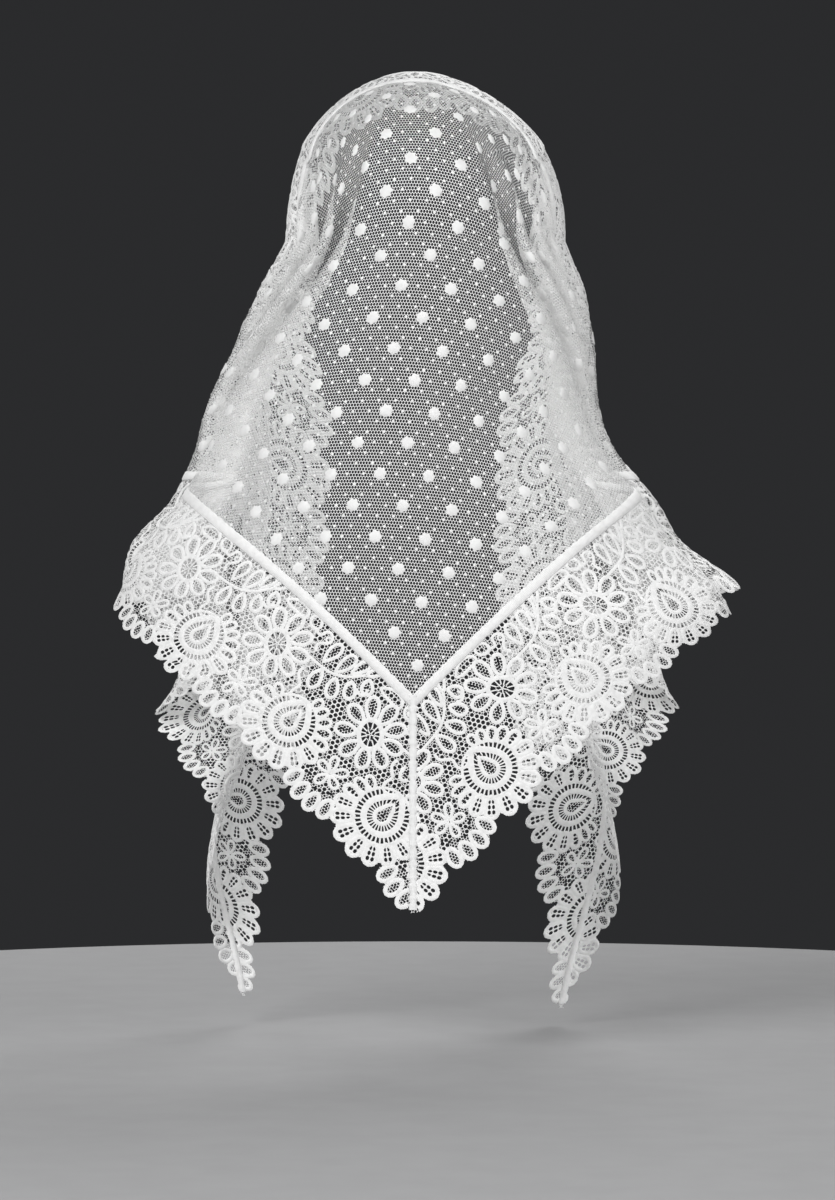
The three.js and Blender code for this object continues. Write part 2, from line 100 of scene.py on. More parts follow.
# count, start on the head, start on the shoulder, end, first
FLUTES = {-1: (4, 17.0, 28.0, 98.0, 0.0), 1: (4, 16.0, 27.0, 96.0, -0.1)}
FLUTE_EASE, TIP_GATHER, MOST_GATHER = 6.0, 1.0, 1.9
# The front edge's waves: height, length, and how far in they reach in lace widths
RIPPLE, RIPPLE_LENGTH, RIPPLE_BAND = 4.0, 150.0, 1.4
# From where to where the flutes turn to their shoulder places and grow, in shares of the head's arc
FLUTES_TURN, FLUTES_GROW = (0.8, 1.8), (0.5, 1.3)
# How far past the join the tips take on their own gather, as a share of the fall
TIP_EASE = 0.4
# Where the brow's lift ends, in shares of the crown's setback, and its rise in shares of half a wave
VISOR_END, VISOR_PHASE = 1.7, 0.8
# Where the head's lean starts to fade and where it is gone, in shares of the head's height
LEAN_START, LEAN_END = 0.6, 2.6


def smooth(x, low, high):
    t = np.clip((x - low) / (high - low), 0.0, 1.0)
    return t * t * (3 - 2 * t)


def mix(a, b, t):
    return a + (b - a) * t


def column_at(rows, column, way):
    """A table's column between its rows, as a smooth curve through them."""
    i = np.clip(np.searchsorted(rows[:, 0], way, side="left") - 1, 0, len(rows) - 2)
    before, low = rows[np.maximum(i - 1, 0)], rows[i]
    high, after = rows[i + 1], rows[np.minimum(i + 2, len(rows) - 1)]
    span = high[..., 0] - low[..., 0]
    t = np.clip((way - low[..., 0]) / span, 0, 1)
    k = column
    slope_low = (high[..., k] - before[..., k]) / (high[..., 0] - before[..., 0]) * span
    slope_high = (after[..., k] - low[..., k]) / (after[..., 0] - low[..., 0]) * span
    return (
        (2 * t**3 - 3 * t**2 + 1) * low[..., k]
        + (t**3 - 2 * t**2 + t) * slope_low
        + (3 * t**2 - 2 * t**3) * high[..., k]
        + (t**3 - t**2) * slope_high
    )


def bessel(order, x):
    term = np.ones_like(x)
    for k in range(1, order + 1):
        term = term * x / 2 / k
    total = term.copy()
    for k in range(1, 12):
        term = term * -((x / 2) ** 2) / (k * (k + order))
        total = total + term
    return total


class Drape:
    """The drape of one side as a grid over distance from the crown and share of its whole turn."""

    STEP = 2.0
    REACHES = np.arange(0.0, 772.0, STEP)
    SHARES = np.linspace(0.0, 1.0, 721)

    def __init__(self, side):
        self.side = side
        count, start_head, start_shoulder, end, first = FLUTES[side]
        reach = np.maximum(self.REACHES, 1e-3)
        on_head = np.minimum(reach / HEAD_ARC, 1) * PI / 2
        way = (reach - HEAD_ARC) / FALL
        falls = way > 0
        here = 1 if side < 0 else 2
        width = np.where(falls, column_at(FALL_SECTIONS, here, way) * SHOULDER_HALF_WIDTH,
                         np.sin(on_head) * HEAD_HALF_WIDTH)
        back = np.where(falls, column_at(FALL_SECTIONS, 3, way) * BACK_DEPTH,
                        np.sin(on_head) * HEAD_BACK)
        set_back = np.where(falls, -column_at(FALL_SECTIONS, 4, way) * BACK_DEPTH, 0)
        lag = np.where(falls, column_at(FALL_SECTIONS, 5, way) * FALL, 0)
        drop = HEAD_HEIGHT * (1 - np.cos(on_head)) + np.maximum(reach - HEAD_ARC, 0)
        past = reach > CROWN_SETBACK
        safe = np.where(past, reach, CROWN_SETBACK + 1)
        along = np.sqrt(safe**2 - CROWN_SETBACK**2) / HALF_EDGE
        beside = column_at(EDGE_SECTIONS, here, along) * FACE_HALF_WIDTH
        before = column_at(EDGE_SECTIONS, 3, along) * CHEST_DEPTH
        last_turn = np.where(past, PI - np.arccos(CROWN_SETBACK / safe), PI)
        last_angle = np.where(past, PI - np.arcsin(np.minimum(beside / width, 1)), PI)
        front = np.where(past, (before - set_back) / -np.cos(last_angle),
                         np.sin(on_head) * HEAD_FRONT)

        def plan(angle, w, b, s, f):
            deep = np.where(angle < PI / 2, b + s, f)
            x, y = w * np.sin(angle), s - deep * np.cos(angle)
            ox, oy = deep * np.sin(angle), -w * np.cos(angle)
            size = np.hypot(ox, oy) + 1e-9
            return x, y, ox / size, oy / size

        steps = 240
        angles = last_angle[:, None] * np.linspace(0, 1, steps + 1)[None]
        col = [a[:, None] for a in (width, back, set_back, front)]
        px, py, _, _ = plan(angles, *col)
        pieces = np.hypot(np.diff(px, axis=1), np.diff(py, axis=1))
        lengths = np.concatenate([np.zeros((len(reach), 1)), np.cumsum(pieces, 1)], 1)
        whole = lengths[:, -1]

        past_head = smooth(reach, *[share * HEAD_ARC for share in FLUTES_TURN])
        start = np.radians(mix(start_head, start_shoulder, past_head))[:, None]
        finish, ease = math.radians(end), math.radians(FLUTE_EASE)
        turns = last_turn[:, None] * self.SHARES[None]
        gather = smooth(turns, start, start + ease) * (
            1 - smooth(turns, finish - ease, finish + ease))

        def covered(swing):
            rate = bessel(0, swing[:, None] * gather)
            middle = (rate[:, 1:] + rate[:, :-1]) / 2
            step = reach[:, None] * last_turn[:, None] / (len(self.SHARES) - 1)
            return np.concatenate([np.zeros((len(reach), 1)), np.cumsum(middle * step, 1)], 1)

        low, high = np.zeros(len(reach)), np.full(len(reach), MOST_GATHER)
        for _ in range(18):
            swing = (low + high) / 2
            over = covered(swing)[:, -1] > whole
            low, high = np.where(over, swing, low), np.where(over, high, swing)
        at_join = np.interp(JOIN_REACH, reach, low)
        joined = np.where(reach < JOIN_REACH, low, at_join)
        swing = mix(joined, TIP_GATHER, smooth(reach, JOIN_REACH, JOIN_REACH + FALL * TIP_EASE))
        cover = covered(swing)
        total = cover[:, -1:]
        scaled = cover * whole[:, None] / np.maximum(total, 1e-6)
        from_front = whole[:, None] - (total - cover)
        from_back = reach[:, None] * turns
        length = np.where(turns < PI / 4, from_back, from_front)
        length = np.where(reach[:, None] < JOIN_REACH, scaled, length)
        angle = np.empty_like(length)
        for i in range(len(reach)):
            angle[i] = np.interp(length[i], lengths[i], angles[i])
        x, y, ox, oy = plan(angle, *col)

        spread = finish - start
        per_flute = reach[:, None] * spread / count
        phase = (turns - start) / spread * count * 2 * PI + first * PI
        bend = swing[:, None] * gather
        grown = smooth(reach, *[share * HEAD_ARC for share in FLUTES_GROW])[:, None]
        depth = per_flute / PI * bessel(1, bend) * grown
        slide = per_flute / (2 * PI) * bessel(2, bend) * grown
        inwards, onwards = depth * (np.cos(phase) - 1), slide * np.sin(2 * phase)
        flat_u, flat_v = reach[:, None] * np.sin(turns), CROWN_SETBACK + reach[:, None] * np.cos(turns)
        near_edge = 1 - smooth(flat_v, 0, RIPPLE_BAND * LACE_WIDTH)
        inwards += (RIPPLE * np.sin(2 * PI * flat_u / RIPPLE_LENGTH) * near_edge
                    * smooth(reach, HEAD_ARC, 2 * HEAD_ARC)[:, None])
        x = x + ox * inwards - oy * onwards
        y = y + oy * inwards + ox * onwards
        ahead = np.maximum(-np.cos(turns), 0) ** VISOR_EASE
        near = (1 - smooth(reach, CROWN_SETBACK, VISOR_END * CROWN_SETBACK))[:, None]
        raised = np.sin(np.minimum(reach / CROWN_SETBACK, 1) * PI * VISOR_PHASE)[:, None]
        fallen = (drop[:, None] - lag[:, None] * np.sin(angle) ** 2) * (
            1 - VISOR_SHARE * ahead * near)
        z = VISOR_LIFT * ahead * near * raised - fallen
        lean = HEAD_LEAN * (1 - smooth(-z, LEAN_START * HEAD_HEIGHT, LEAN_END * HEAD_HEIGHT))
        x = side * x + lean * smooth(reach, 0, HEAD_ARC)[:, None]
        self.last_turn = last_turn
        self.grid = np.stack([x, y, z], -1)

    def at(self, u, v):
        reach = np.hypot(u, v - CROWN_SETBACK)
        turn = np.arctan2(np.abs(u), v - CROWN_SETBACK)
        row = np.clip(reach / self.STEP, 0, len(self.REACHES) - 1.001)
        i = row.astype(int)
        fi = (row - i)[:, None]
        out = 0
        for k, weight in ((i, 1 - fi), (i + 1, fi)):
            share = np.clip(turn / self.last_turn[k], 0, 1) * (len(self.SHARES) - 1)
            j = np.minimum(share.astype(int), len(self.SHARES) - 2)
            fj = (share - j)[:, None]
            out = out + weight * (self.grid[k, j] * (1 - fj) + self.grid[k, j + 1] * fj)
        return out


SIDES = {-1: Drape(-1), 1: Drape(1)}


def draped(u, v):
    u, v = np.asarray(u, float).ravel(), np.asarray(v, float).ravel()
    out = np.empty((len(u), 3))
    for side, which in ((-1, u < 0), (1, u >= 0)):
        if which.any():
            out[which] = SIDES[side].at(u[which], v[which])
    return out


NORMAL_STEP = 2.5


def outward(u, v):
    """The outward direction of the drape at flat points."""
    u, v = np.asarray(u, float).ravel(), np.asarray(v, float).ravel()
    du = draped(u + NORMAL_STEP, v) - draped(u - NORMAL_STEP, v)
    dv = draped(u, v + NORMAL_STEP) - draped(u, v - NORMAL_STEP)
    n = np.cross(du, dv)
    return n / (np.linalg.norm(n, axis=1, keepdims=True) + 1e-9)


def lifted(u, v, height):
    """Flat points in the drape, raised off the cloth by a height in millimetres."""
    height = np.broadcast_to(np.asarray(height, float).ravel(), np.asarray(u).ravel().shape)
    return draped(u, v) + outward(u, v) * height[:, None]


# Small helpers for meshes
def mesh_object(name, points, faces, material, uv=None):
    """faces is an array of triangles or quads; uv is per vertex."""
    mesh = bpy.data.meshes.new(name)
    points = np.asarray(points, np.float32) * MM
    faces = np.asarray(faces, np.int32)
    n, k = faces.shape
    mesh.vertices.add(len(points))
    mesh.vertices.foreach_set("co", points.ravel())
    mesh.loops.add(n * k)
    mesh.loops.foreach_set("vertex_index", faces.ravel())
    mesh.polygons.add(n)
    mesh.polygons.foreach_set("loop_start", np.arange(0, n * k, k, dtype=np.int32))
    mesh.polygons.foreach_set("use_smooth", np.full(n, True))
    mesh.update(calc_edges=True)
    if uv is not None:
        layer = mesh.uv_layers.new(name="Flat")
        layer.uv.foreach_set("vector", np.asarray(uv, np.float32)[faces.ravel()].ravel())
    mesh.validate()
    obj = bpy.data.objects.new(name, mesh)
    bpy.context.scene.collection.objects.link(obj)
    mesh.materials.append(material)
    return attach(obj, "root")


def grid_faces(rows, columns):
    i, j = np.meshgrid(np.arange(rows - 1), np.arange(columns - 1), indexing="ij")
    a = (i * columns + j).ravel()
    return np.stack([a, a + 1, a + columns + 1, a + columns], 1)


# The lace's repeat is drawn once on a sheet 93 wide, t along the strip and n out from the seam,
# and is scaled to the real repeat where it is laid out
SHEET = 93.0
SCALE = REPEAT / SHEET
FLOWER = (0.0, 36.0)
MEDALLION = (46.5, 71.0)

# Strokes are (points, width, closed) for raised cords, holes are polygons cut out of the ground,
# and close polygons hold close work without the ground's fine holes
strokes, holes, close = [], [], []


def drop_shape(root, tip, width, point=0.5, count=14):
    """A closed petal or drop from its narrow root to its round tip."""
    root, tip = np.array(root, float), np.array(tip, float)
    axis = tip - root
    across = np.array([-axis[1], axis[0]]) / np.hypot(*axis)
    a = np.linspace(0, 2 * PI, count, endpoint=False)
    bulge = np.sin(a) * np.abs(np.sin(a / 2)) ** point
    bulge = bulge / np.abs(bulge).max()
    return root + np.outer((1 - np.cos(a)) / 2, axis) + np.outer(bulge * width / 2, across)


def polar(centre, radius, angle):
    a = math.radians(angle)
    return (centre[0] + radius * math.cos(a), centre[1] + radius * math.sin(a))


def oval(centre, along, across, angle=0.0, count=20):
    a = np.linspace(0, 2 * PI, count, endpoint=False)
    c, s = math.cos(math.radians(angle)), math.sin(math.radians(angle))
    x, y = along * np.cos(a), across * np.sin(a)
    return np.stack([centre[0] + x * c - y * s, centre[1] + x * s + y * c], 1)


# How wide the point of a tear is, in radians, and how sharp
TEAR_SPREAD, TEAR_POWER = 0.42, 1.4


def tear_radius(radius, reach, angle):
    """The radius at an angle of a round shape drawn out to a point straight down from its centre."""
    away = abs((angle + 90 + 180) % 360 - 180)
    return radius + (reach - radius) * math.exp(-((math.radians(away) / TEAR_SPREAD) ** TEAR_POWER))


def tear(centre, radius, reach, count):
    turns = -90 + 360 / count * np.arange(count)
    return np.array([polar(centre, tear_radius(radius, reach, turn), turn) for turn in turns])


def curve_through(points, count):
    points = np.array(points, float)
    at = np.concatenate([[0], np.cumsum(np.hypot(*np.diff(points, axis=0).T))])
    t = np.linspace(0, at[-1], count)
    out = np.stack([np.interp(t, at, points[:, k]) for k in (0, 1)], 1)
    for _ in range(3):
        out[1:-1] = (out[:-2] + 2 * out[1:-1] + out[2:]) / 4
    return out


def cord(points, width, closed=False):
    strokes.append((np.array(points, float), width, closed))


def ordered(polygon):
    """The polygon with its points in counterclockwise order, as the triangulation needs."""
    x, y = polygon.T
    return polygon if x @ np.roll(y, -1) > y @ np.roll(x, -1) else polygon[::-1]


def hole(centre, along, across, angle=0.0):
    holes.append(oval(centre, along, across, angle, 6 if max(along, across) > 0.8 else 4))


# Half the bar between two columns of holes in a petal, and how the holes widen from its root
HALF_BAR = 0.3
WIDTH_AT_ROOT, WIDENING = 0.62, 0.6


def petal(root, tip, width, thick, count, across, along, point=0.5, first=0.3, last=0.84, columns=1):
    """A petal's thick edge, with one or two columns of holes along its middle."""
    cord(drop_shape(root, tip, width - thick, point), thick, True)
    root, tip = np.array(root, float), np.array(tip, float)
    angle = math.degrees(math.atan2(*(tip - root)[::-1]))
    for k in range(count):
        share = first + (last - first) * (k + 0.5) / count
        wide = across * min(1.0, WIDTH_AT_ROOT + share * WIDENING)
        for j in range(columns):
            aside = ((j + 0.5) / columns - 0.5) * wide
            centre = polar(root + (tip - root) * share, aside, angle + 90)
            hole(centre, along / 2, wide / columns / 2 - HALF_BAR * (columns - 1), angle)


# How far the bar runs on past each end of its hole
BAR_LAP = 0.4


def ladder(centre, inner, outer, count, bar):
    """Holes between two outlines about a centre, with a thin bar between each two."""
    for k in range(count):
        low, high = -90 + 360 / count * k, -90 + 360 / count * (k + 1)
        ri, ro = [(f(low) + f(high)) / 2 for f in (inner, outer)]
        gap = math.degrees(bar / 2 / ri), math.degrees(bar / 2 / ro)
        holes.append(np.array([
            polar(centre, inner(low), low + gap[0]),
            polar(centre, outer(low), low + gap[1]),
            polar(centre, outer(high), high - gap[1]),
            polar(centre, inner(high), high - gap[0]),
        ]))
        cord([polar(centre, inner(low) - BAR_LAP, low), polar(centre, outer(low) + BAR_LAP, low)], bar)


# turn, reach
DAISY = ((-130, 26.5), (-92, 26.5), (-54, 25), (-15, 25), (23, 25), (62, 25), (102, 25), (146, 25), (191, 25))
for turn, reach in DAISY:
    petal(polar(FLOWER, 9.5, turn), polar(FLOWER, reach, turn), 11.4, 2.3, 4, 2.5, 1.5, 0.5)
# The oval eye of the daisy leans by this turn
EYE_TURN = 48
cord(oval(FLOWER, 10.4, 8.2, EYE_TURN), 2.9, True)


def eye(angle, along, across):
    a = math.radians(angle - EYE_TURN)
    return along * across / math.hypot(across * math.cos(a), along * math.sin(a))


ladder(FLOWER, lambda a: eye(a, 4.9, 3.5), lambda a: eye(a, 9.0, 6.9), 12, 0.8)
ladder(FLOWER, lambda a: 0.9, lambda a: eye(a, 4.0, 2.7), 5, 0.7)

# The medallion: a drop, two ladder rings and a fan of petals that makes the large scallop
cord(tear(MEDALLION, 5.3, 12.0, 20), 2.5, True)
for k, size in ((-5.5, 0.7), (-3.0, 1.0), (-0.6, 1.4), (1.8, 1.2)):
    hole((MEDALLION[0], MEDALLION[1] + k), size * 0.75, size * 1.1, 90)
ladder(MEDALLION, lambda a: tear_radius(6.9, 14.5, a), lambda a: tear_radius(10.6, 16.0, a), 26, 0.8)
cord(tear(MEDALLION, 12.9, 19.0, 32), 3.9, True)
ladder(MEDALLION, lambda a: tear_radius(15.3, 20.4, a), lambda a: tear_radius(18.9, 21.6, a), 36, 1.0)
cord(oval(MEDALLION, 20.2, 20.2, 0, 40), 1.7, True)
# turn, reach, width, hole across, hole along
FAN = (
    (-77, 29.5, 8.0, 1.9, 1.4), (-61, 30, 8.0, 1.9, 1.4), (-44, 31, 8.2, 2.0, 1.5),
    (-27, 32.5, 9.2, 2.4, 1.9), (-9, 34, 10.4, 3.4, 2.6), (13, 35, 11.8, 5.6, 3.2),
    (37, 36, 12.4, 6.4, 3.4), (61, 37, 12.8, 6.8, 3.6), (85, 37.4, 12.8, 6.8, 3.6),
    (110, 37.4, 12.8, 6.8, 3.6), (134, 37, 12.4, 6.4, 3.4), (155, 36, 11.4, 5.6, 3.2),
    (174, 34.5, 10.4, 3.4, 2.6), (191, 33, 8.6, 2.2, 1.7), (207, 31, 8.0, 1.9, 1.4),
)
# The fan's petals that reach further than this have a thicker edge, and two columns of wide holes
LARGE_REACH, WIDE_HOLE = 33.5, 5
for turn, reach, width, across, along in FAN:
    thick = 2.6 if reach > LARGE_REACH else 2.0
    root, tip = polar(MEDALLION, 19.8, turn), polar(MEDALLION, reach - thick / 2, turn)
    petal(root, tip, width, thick, 3, across, along, 0.28, 0.12, 0.84, 2 if across > WIDE_HOLE else 1)
lobed = [polar(MEDALLION, 20.5, turn) for turn in range(-15, 181, 15)]
close.append(np.array(lobed + [polar(MEDALLION, reach - 3.0, turn) for turn, reach, *_ in FAN[12:3:-1]]))

# The stem with its leaves, and the row of drops beneath it
cord(curve_through([(23, 27), (31, 26.5), (40, 26), (48.5, 22.5), (56, 16), (62, 8)], 14), 1.8)
# root, tip, width
LEAVES = (
    ((33, 23), (34.5, 5.5), 9.6), ((44.5, 22.5), (47.5, 4.5), 9.8),
    ((53.5, 15), (57.5, 0.5), 8.6), ((61.5, 9), (67.5, -1.5), 7.0),
)
DROPS = (((36.5, 27.5), (38, 43), 10.4), ((47.5, 25.5), (53.5, 38.5), 10.6), ((57.5, 19), (63.5, 30), 10.2))
for root, tip, width in LEAVES:
    petal(root, tip, width, 2.0, 4, 2.1, 1.3, 1.0, 0.42, 0.88)
for root, tip, width in DROPS:
    petal(root, tip, width, 2.2, 3, 2.6, 1.9, 0.6, 0.34, 0.84)
petal((65.5, 9.5), (70.5, 19), 10.2, 2.2, 1, 2.4, 2.4, 0.6, 0.4, 0.7)

# The scrolls beside the seam
cord(curve_through([(-18, 8), (-14, 3.5), (-7, 1.5), (0, 3), (3.5, 7), (1, 10.5), (-6, 9.5), (-13, 10.5),
                    (-18, 8)], 20), 1.8)
cord(oval((9.5, 6.0), 5.0, 4.0, 30, 14), 1.8, True)
cord(curve_through([(13.5, 9.5), (17, 12), (20, 9.5), (18.5, 5.5), (22.5, 4.0), (27.5, 6.5), (27, 12),
                    (22, 13.5), (20.5, 18), (24, 21)], 22), 1.8)
cord(oval((25.0, 9.2), 2.2, 1.7, 0, 10), 1.2, True)
cord(curve_through([(26.5, 35), (24.5, 41), (29.5, 43.5), (34, 47), (30, 52), (33, 58), (40.5, 56.5),
                    (45.5, 53)], 20), 1.9)
cord(curve_through([(-30, 20), (-26, 23), (-22, 20), (-24, 15)], 9), 1.7)

# The floret, its arc of holes and the loops of the small scallops
for root, tip in (((-1.0, 76), (-11.5, 75)), ((-0.5, 75), (-5.5, 64.5)), ((1.0, 75.5), (8.5, 66.5)),
                  ((1.0, 77.5), (10.5, 80.5)), ((-0.5, 78), (-3.0, 88))):
    petal(root, tip, 7.4, 1.9, 3, 1.5, 0.9, 0.8, 0.4, 0.84)
for centre in ((-13, 82), (-10, 86.5), (-5.5, 90.2), (0.5, 91.4), (6.5, 89.4), (11, 86)):
    hole(centre, 1.4, 1.2)
# turn from straight out, centre
LOOPS = ((-10, (-15.6, 96.5)), (-4, (-5.4, 100.0)), (4, (5.4, 100.0)), (10, (15.6, 96.5)))
for turn, (t, n) in LOOPS:
    a = math.radians(turn)
    way = np.array([math.sin(a), math.cos(a)])
    petal(np.array([t, n]) - way * 7.2, np.array([t, n]) + way * 7.4, 11.2, 2.7, 2, 2.0, 1.3, 0.2, 0.35, 0.72)
for t, n in ((-10.4, 95.2), (0.0, 96.6), (10.4, 95.2)):
    hole((t, n), 0.9, 0.9)


def to_lines(places, starts, ends):
    """How far each place is from each straight line between two points."""
    way = ends - starts
    off = places[:, None] - starts
    share = np.clip((off * way).sum(-1) / ((way**2).sum(-1) + 1e-9), 0, 1)
    return np.hypot(*np.moveaxis(off - share[..., None] * way, -1, 0))


# The least reach of the free edge, and a loop's half width, its height and its middle's shift
LEAST_EDGE, LOOP_HALF, LOOP_HIGH, LOOP_ASIDE, LOOP_PAST = 92.0, 5.6, 5.4, 0.8, 2.6


def free_edge(t):
    """How far the lace reaches from its seam at a place along the repeat, on the drawing's scale."""
    t = np.asarray(t, float)
    best = np.full(t.shape, LEAST_EDGE)
    lobes = [(polar(MEDALLION, reach - width / 2, turn), width / 2, width / 2)
             for turn, reach, width, *_ in FAN[4:13]]
    lobes += [((ct + np.sign(ct) * LOOP_ASIDE, cn + LOOP_PAST), LOOP_HALF, LOOP_HIGH)
              for _, (ct, cn) in LOOPS]
    for (ct, cn), half, high in lobes:
        for shift in (-SHEET, 0, SHEET):
            x = (t - ct - shift) / half
            best = np.maximum(best, np.where(np.abs(x) < 1, cn + high * np.sqrt(np.maximum(1 - x * x, 0)), 0))
    return best


# The coarse cells of the ground: columns and rows in a repeat, first row, bar between two holes
OPEN_COLUMNS, OPEN_ROWS, OPEN_FIRST, OPEN_BAR = 26, 30, 3.4, 0.85
# The least room about a cell's middle, a stroke's share of its width, a hole's and the edge's margin
OPEN_ROOM, STROKE_SHARE, HOLE_MARGIN, EDGE_MARGIN = 0.85, 0.58, 1.4, 3.5


def open_cells():
    """Coarse cells wherever an even grid has room between the strokes, the other holes and the edge."""
    across = SHEET / OPEN_COLUMNS
    down = across * math.cos(PI / 6)
    grid = np.array([((i + 0.5 * (j % 2)) * across - SHEET / 2, OPEN_FIRST + j * down)
                     for j in range(OPEN_ROWS) for i in range(OPEN_COLUMNS)])
    rooms = np.full(len(grid), SHEET)
    for shift in (-SHEET, 0, SHEET):
        for points, width, closed in strokes:
            points = points + (shift, 0)
            following = np.roll(points, -1, 0) if closed else points[1:]
            room = to_lines(grid, points[:len(following)], following).min(1) - width * STROKE_SHARE
            rooms = np.minimum(rooms, room)
        middles = np.array([shape.mean(0) for shape in holes]) + (shift, 0)
        rooms = np.minimum(rooms, np.hypot(*(grid[:, None] - middles).T).min(0) - HOLE_MARGIN)
    rooms[grid[:, 1] > free_edge(grid[:, 0]) - EDGE_MARGIN] = 0
    cell_half, hole_half = across / math.sqrt(3), (across - OPEN_BAR) / math.sqrt(3)
    for place in grid[rooms > OPEN_ROOM]:
        close.append(oval(place, cell_half, cell_half, 90, 6))
        holes.append(oval(place, hole_half, hole_half, 90, 6))


open_cells()

# The net's repeat: two staggered rows of dots, with small dots at thirds
DOT_ACROSS, DOT_DOWN, DOT_HALF, PIN_HALF = 34.2, 43.0, 4.4, 1.1
UV_UNIT = 100.0
# The cells of the net and of the lace's ground: width, twice the height, turn
NET_CELLS, GROUND_CELLS = (2.0, 4.2, 5.0), (2.1, 3.8, 0.0)


class Cloth:
    """A woven material with a short way to add and join nodes."""

    def __init__(self, name, colour, roughness, sheen=0.3):
        self.material = bpy.data.materials.new(name)
        self.material.use_nodes = True
        self.tree = self.material.node_tree
        self.main = self.tree.nodes["Principled BSDF"]
        self.main.inputs["Base Color"].default_value = (*colour, 1)
        self.main.inputs["Roughness"].default_value = roughness
        self.main.inputs["Specular IOR Level"].default_value = 0.25
        self.main.inputs["Sheen Weight"].default_value = sheen
        self.colour = colour

    def node(self, kind, *inputs, out=0, **settings):
        made = self.tree.nodes.new("ShaderNode" + kind)
        for key, value in settings.items():
            setattr(made, key, value)
        for k, value in enumerate(inputs):
            self.feed(made.inputs[k], value)
        return made.outputs[out]

    def feed(self, socket, value):
        if isinstance(value, bpy.types.NodeSocket):
            self.tree.links.new(value, socket)
        elif value is not None:
            socket.default_value = value

    def math(self, operation, *inputs):
        return self.node("Math", *inputs, operation=operation)

    def waves(self, place, *steps):
        """The sum of even waves across a surface, each given by its waves per millimetre each way."""
        total = None
        for step in steps:
            turn = 2 * PI * UV_UNIT * np.array([*step, 0.0])
            phase = self.node("VectorMath", place, tuple(turn), out=1, operation="DOT_PRODUCT")
            wave = self.math("COSINE", phase)
            total = wave if total is None else self.math("ADD", total, wave)
        return total

    def cells(self, place, across, down, turn):
        """Waves that are high in the middle of six-sided cells and low along their edges."""
        c, s = math.cos(math.radians(turn)), math.sin(math.radians(turn))
        steps = ((1 / across, 1 / down), (-1 / across, 1 / down), (0, 2 / down))
        return self.waves(place, *[(x * c - y * s, x * s + y * c) for x, y in steps])

    def flat(self):
        return self.node("UVMap", uv_map="Flat")

    def place(self):
        return self.node("TexCoord", out=3)

    def noise(self, place, scale):
        return self.node("TexNoise", place, None, scale, 2.0, out=0)

    def ramp(self, value, low, high, to_low=0.0, to_high=1.0):
        return self.node("MapRange", value, low, high, to_low, to_high)

    def see_through(self, value, low, high):
        """Thread where the value is low, and nothing where it is high."""
        self.feed(self.main.inputs["Alpha"], self.ramp(value, low, high, 1.0, 0.0))

    def bump(self, height, strength, distance):
        normal = self.node("Bump", strength, distance, None, height)
        self.feed(self.main.inputs["Normal"], normal)

    def mottle(self, value, low, high, darker):
        """The colour dims a little where a value is low."""
        share = self.ramp(value, low, high, darker, 1.0)
        tint = self.node("Mix", data_type="RGBA", blend_type="MULTIPLY", out=2)
        mixer = tint.node
        mixer.inputs[0].default_value = 1.0
        mixer.inputs[6].default_value = (*self.colour, 1)
        self.feed(mixer.inputs[7], self.node("CombineColor", share, share, share))
        self.feed(self.main.inputs["Base Color"], tint)


THREAD, CLOSE_THREAD = (0.93, 0.93, 0.925), (0.95, 0.95, 0.945)


def net_cloth():
    cloth = Cloth("NetMesh", THREAD, 0.8)
    cells = cloth.cells(cloth.flat(), *NET_CELLS)
    cloth.see_through(cells, -1.04, -0.76)
    return cloth.material


def ground_cloth():
    cloth = Cloth("LaceGround", THREAD, 0.85)
    cells = cloth.cells(cloth.flat(), *GROUND_CELLS)
    cloth.see_through(cells, -1.0, -0.72)
    cloth.bump(cells, -0.3, 0.0002)
    return cloth.material


def stitched(name, pitch):
    """Close satin stitches that lie across a cord."""
    cloth = Cloth(name, CLOSE_THREAD, 0.68)
    stitches = cloth.waves(cloth.flat(), (1 / pitch, 0.3))
    cloth.bump(stitches, 0.35, 0.00015)
    cloth.mottle(cloth.noise(cloth.place(), 260.0), 0.3, 0.6, 0.9)
    return cloth.material


def woven(name, pitch):
    """A plain weave of close threads."""
    cloth = Cloth(name, CLOSE_THREAD, 0.75)
    weave = cloth.waves(cloth.flat(), (1 / pitch, 0), (0, 1 / pitch))
    cloth.bump(weave, 0.4, 0.0002)
    cloth.mottle(cloth.noise(cloth.place(), 220.0), 0.3, 0.6, 0.92)
    return cloth.material


NET, GROUND = net_cloth(), ground_cloth()
CORD, BAND, DOT = stitched("LaceCord", 0.55), woven("SeamBand", 0.9), woven("NetDots", 0.7)


# The net, which runs in under its seam bands by a share of their width
LIMIT = LACE_WIDTH + BAND_WIDTH
UNDER_BAND = 0.6
NET_TURN = math.radians(3.7)
DOT_SHIFT, DOT_MARGIN = (11.2, 7.4), 1.0
NET_RINGS, NET_RAYS = 96, 104
DOT_ROWS, DOT_COLUMNS = range(-100, 160), range(-120, 121)


def net_points(rings, rays):
    """Rays of flat points from the middle of the front seam out to the two side seams."""
    half = math.atan2(HALF_EDGE, DEPTH)
    margin = LACE_WIDTH + BAND_WIDTH * UNDER_BAND
    back = DEPTH - margin / math.sin(half)
    pivot = np.array([0.0, margin])
    tip = back - margin
    turn = np.radians(np.linspace(-90, 90, 2 * rays + 1))
    tangent = np.abs(np.tan(np.clip(turn, -PI / 2 + 1e-6, PI / 2 - 1e-6)))
    share = tangent / (1 + tangent)
    outer = np.stack([np.sign(turn) * tip * share, back - tip * share], 1)
    k = (np.arange(rings + 1) / rings)[:, None, None]
    return pivot + (outer - pivot)[None] * k


